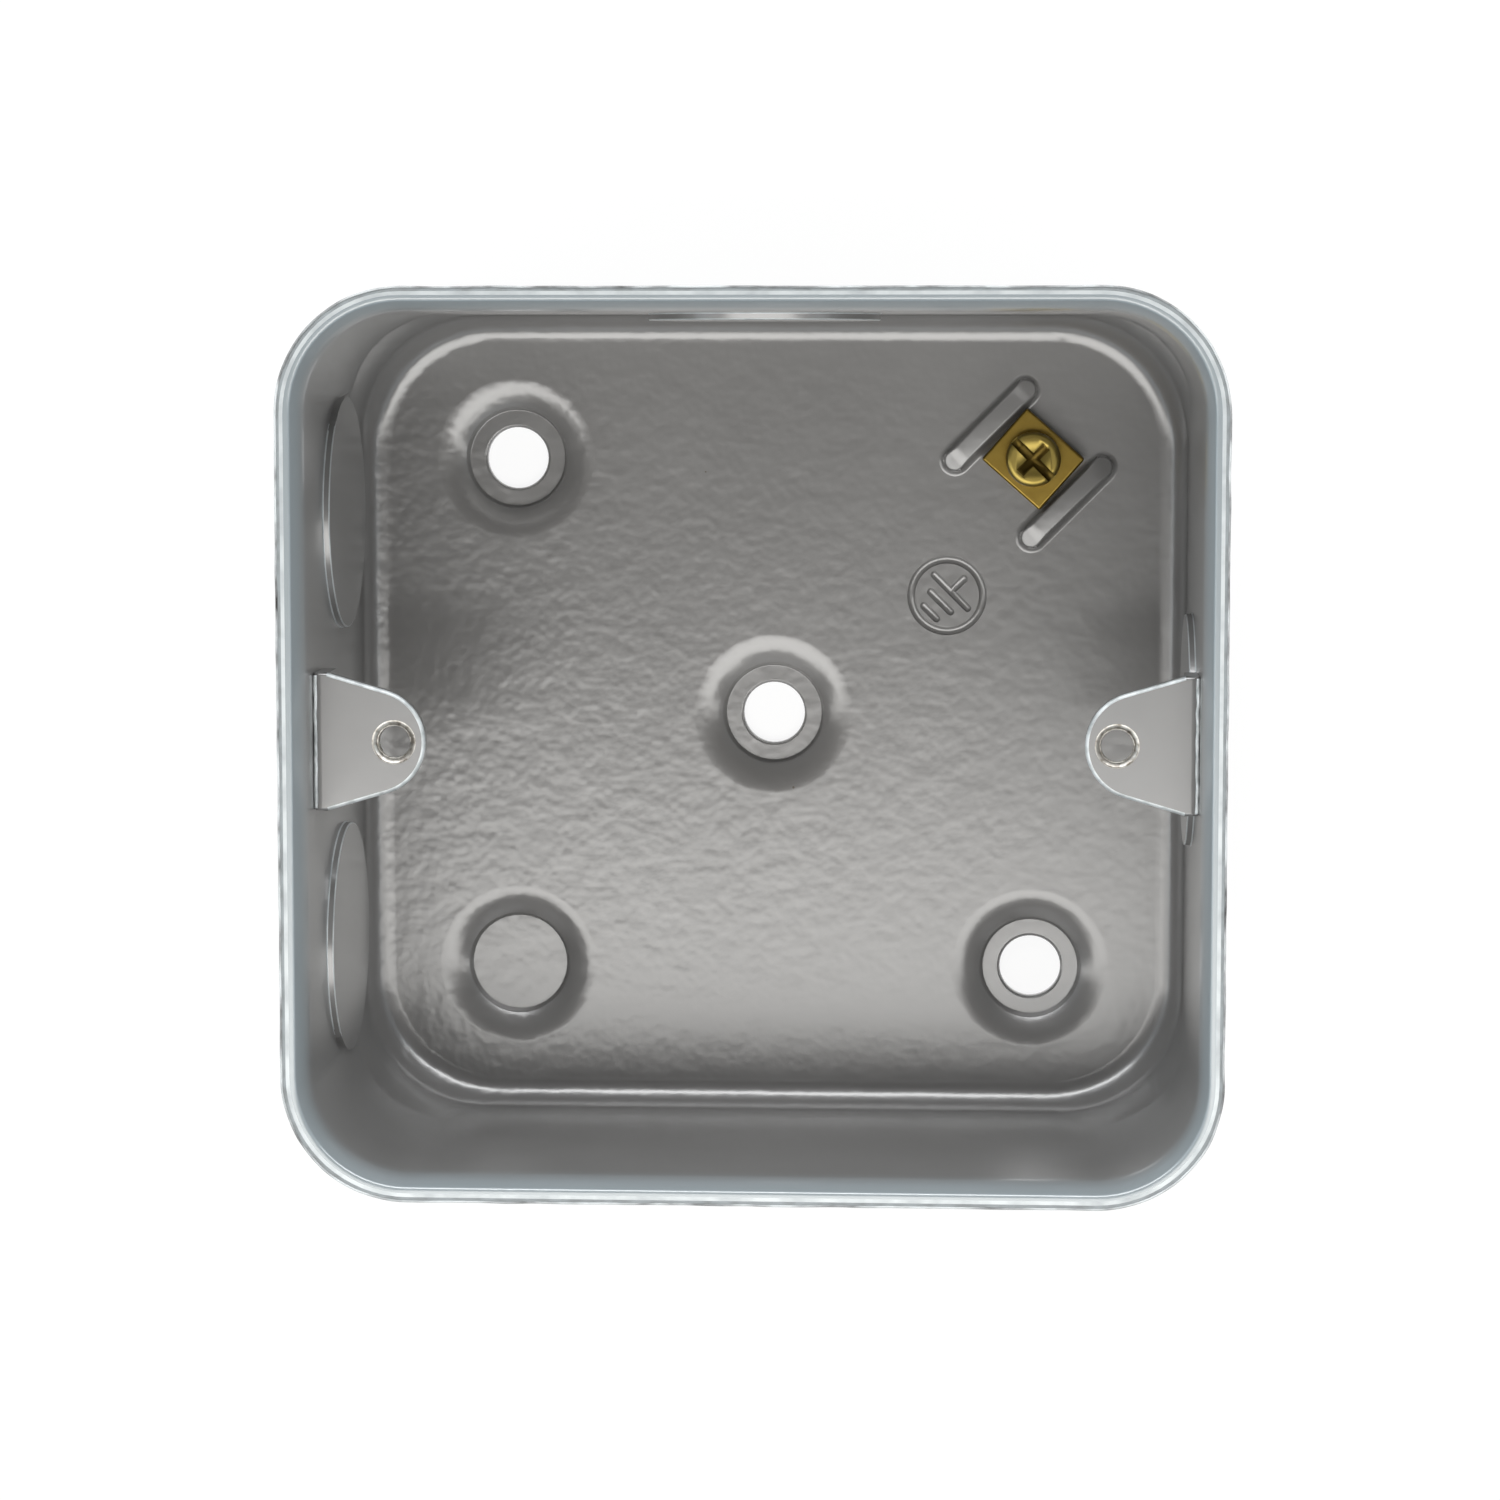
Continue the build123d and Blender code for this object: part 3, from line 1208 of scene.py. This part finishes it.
@dataclass
class Studio:
    """White table, soft lamps, the room around them and the camera above the open box."""

    table_size: float = 6.0
    camera_place: tuple[float, float, float] = (0.02073, 0.0321, 0.37467)
    camera_aim: tuple[float, float, float] = (-0.00111, -0.00174, 0.019)
    lens: float = 99.4
    sensor: float = 36.0
    room_low: str = "#d8e6f0"
    room_high: str = "#595857"
    room_left: float = 1.5
    room_right: float = 0.9
    room_rise: tuple[float, float] = (0.4, 0.66)
    clip_start: float = 0.01
    lamps: tuple[SoftBox, ...] = (
        SoftBox(
            "near_panel",
            place=(0.0, -0.108, 0.50),
            aim=(0.0, -0.108, 0.0),
            size=(2.4, 0.092),
            brightness=3.5,
            colour="#fffefb",
        ),
        SoftBox(
            "key_panel",
            place=(0.0, -0.31, 0.50),
            aim=(0.0, -0.31, 0.0),
            size=(0.66, 0.32),
            brightness=3.4,
            colour="#fffefb",
        ),
        SoftBox(
            "back_strip",
            place=(0.0, 0.50, 0.31),
            aim=(0.0, 0.0, 0.02),
            size=(1.2, 0.18),
            brightness=7.0,
        ),
    )

    def build_table(self, finish: bpy.types.Material) -> bpy.types.Object:
        """Makes the table.

        Args:
            finish: its finish.

        Returns:
            The table.
        """
        mesh = bmesh.new()
        bmesh.ops.create_grid(mesh, x_segments=1, y_segments=1, size=self.table_size / 2)
        table = to_object("table", mesh, [finish])
        return table

    def build_room(self) -> None:
        """Lights the scene from a room that is pale at the horizon and darker overhead."""
        world = bpy.data.worlds.new("room")
        world.use_nodes = True
        tree = world.node_tree
        tree.nodes.clear()
        way = add_node(tree, "ShaderNodeTexCoord")
        rise = add_node(tree, "ShaderNodeSeparateXYZ", inputs={0: way.outputs["Generated"]})
        share = add_node(
            tree,
            "ShaderNodeMapRange",
            {"interpolation_type": "SMOOTHSTEP"},
            {0: rise.outputs[2], 1: self.room_rise[0], 2: self.room_rise[1]},
        )
        tone = add_node(
            tree,
            "ShaderNodeMix",
            {"data_type": "RGBA"},
            {0: share.outputs[0], 6: linear(self.room_low), 7: linear(self.room_high)},
        )
        side = add_node(
            tree,
            "ShaderNodeMapRange",
            inputs={0: rise.outputs[0], 1: -1.0, 2: 1.0, 3: self.room_left, 4: self.room_right},
        )
        back = add_node(
            tree, "ShaderNodeBackground", inputs={"Color": tone.outputs[2], "Strength": side.outputs[0]}
        )
        add_node(tree, "ShaderNodeOutputWorld", inputs={0: back.outputs[0]})
        bpy.context.scene.world = world

    def build_camera(self) -> bpy.types.Object:
        """Makes the camera, with the top of the picture towards the box's upper wall.

        Returns:
            The camera.
        """
        data = bpy.data.cameras.new("camera")
        data.lens = self.lens
        data.sensor_width = self.sensor
        data.clip_start = self.clip_start
        camera = bpy.data.objects.new("camera", data)
        back = (Vector(self.camera_place) - Vector(self.camera_aim)).normalized()
        right = Vector((0, 1, 0)).cross(back).normalized()
        turn = Matrix((right, back.cross(right), back)).transposed()
        camera.matrix_world = Matrix.Translation(self.camera_place) @ turn.to_4x4()
        bpy.context.scene.collection.objects.link(camera)
        bpy.context.scene.camera = camera
        return camera


def main() -> None:
    """Builds the box, its finishes and the studio."""
    logging.basicConfig(level=logging.INFO, format="%(name)s %(message)s")
    bpy.context.scene.view_settings.view_transform = "Standard"
    noise.seed_set(WANDER_SEED)
    enamel = StovedEnamel().build()
    # Steel bared by the tap shows bright rings with brown stains in the lug holes.
    tapped = CutSteel(
        "tapped_bare_steel", "#bfbcb6", "#6f675e", stain_mm=0.5, roughness=0.3, metallic=0.8
    ).build()
    # Enamel stretched thin on sharp corners shows as a pale line; the same pale finish paints the highlight
    # along the rim and the knockouts' steps.
    edge_highlight = CutSteel(
        "thin_enamel_and_painted_highlight", "#b0b4b5", "#95999b", stain_mm=2.5, roughness=0.35, metallic=0.25
    ).build()
    # The rim's trimmed edge is a dull mid grey band.
    trimmed = CutSteel(
        "trimmed_steel_edge", "#7f8486", "#717475", stain_mm=1.4, roughness=0.5, metallic=0.15
    ).build()
    # A pale colour on the lugs' upper edges and enamel beads paints their highlights, which gives them bright
    # outlines.
    lug_highlight = CutSteel(
        "painted_highlight_lug_edge", "#b9bdbe", "#8e9293", stain_mm=1.2, roughness=0.32, metallic=0.25
    ).build()
    # The burr's colour wanders between pale grey and near black, a broken line round the rim.
    burr = CutSteel(
        "trimmed_steel_burr", "#b4b7b8", "#2b2928", stain_mm=4.0, roughness=0.6, metallic=0.0
    ).build()
    # Rolled sheet brass is a dull even gold with straight lines.
    plate = Brass("rolled_brass", "#9a8240", "#6b5726", line_mm=0.754, rings=False, roughness=0.3).build()
    # The turned head is a little paler, with rings.
    turned = Brass("turned_brass", "#9c8b4e", "#72612e", line_mm=0.628, rings=True, roughness=0.34).build()
    # Darker brass in the depth of its cross is painted shade.
    recess_shade = Brass(
        "painted_shade_recess_brass", "#6f5d2e", "#483b18", line_mm=0.628, rings=True, roughness=0.5
    ).build()

    shell = DrawnShell()
    shell.build_shell(enamel, edge_highlight, trimmed)
    shell.build_burr(burr)
    for side in Side:
        lug = ScrewLug(side)
        lug.build_lug(enamel, lug_highlight, tapped)
        lug.build_bead(lug_highlight)
        lug.build_thread(tapped)
    terminal = EarthTerminal()
    terminal.build_plate(plate)
    terminal.build_screw(turned, recess_shade)

    studio = Studio()
    studio.build_table(WhiteTable().build())
    studio.build_room()
    for lamp in studio.lamps:
        lamp.build()
    studio.build_camera()


if __name__ == "__main__":
    main()
